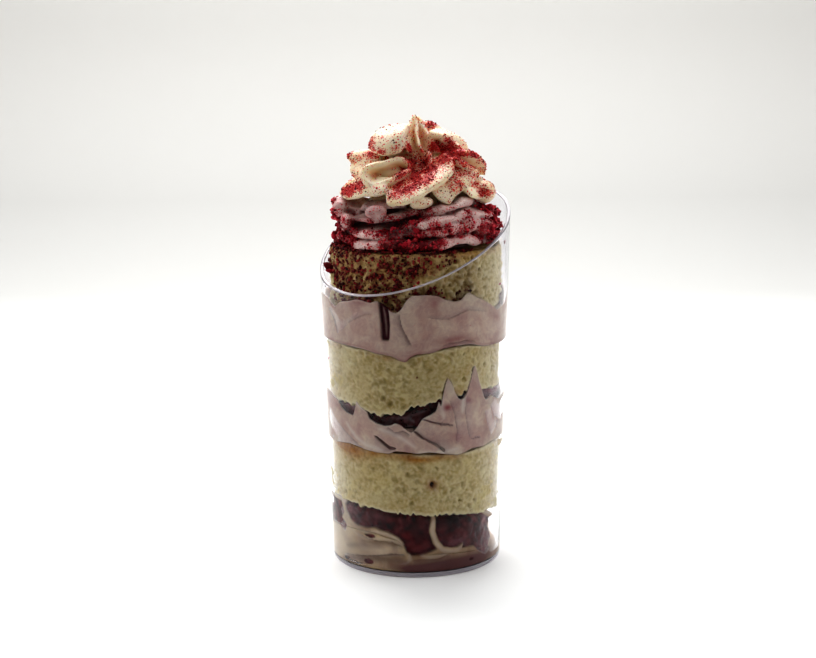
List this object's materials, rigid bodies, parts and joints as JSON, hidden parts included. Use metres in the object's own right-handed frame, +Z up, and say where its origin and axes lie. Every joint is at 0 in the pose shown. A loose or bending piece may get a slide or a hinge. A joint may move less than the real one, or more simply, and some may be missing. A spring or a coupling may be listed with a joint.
{
  "type": "cake shooter",
  "caption": "Layered dessert in a tall slant-cut clear cup: discs of sponge between mauve frosting and berry jam, under a piped ring and a cream swirl dusted with berry crumbs.",
  "frame": {"origin": "centre of the cup's flat underside", "axes": "+Z up along the cup's axis, -Y towards the viewer of the picture, +X to the viewer's right; the rim is lowest at the front left and highest at the back right"},
  "size_m": [0.0555, 0.0556, 0.1313],
  "materials": {
    "clear_cup": "gloss",
    "sponge": "matte",
    "mauve_frosting": "satin",
    "berry_jam": "gloss",
    "cream_frosting": "satin",
    "berry_crumb": "matte"
  },
  "bodies": {
    "root": {"cup": "clear_cup", "frosting_bottom": "mauve_frosting", "jam_bottom": "berry_jam", "sponge_lower": "sponge", "frosting_middle": "mauve_frosting", "jam_middle": "berry_jam", "sponge_middle": "sponge", "frosting_upper": "mauve_frosting", "sponge_top": "sponge", "piped_ring": "mauve_frosting", "cream_swirl": "cream_frosting"}
  },
  "joints": []
}
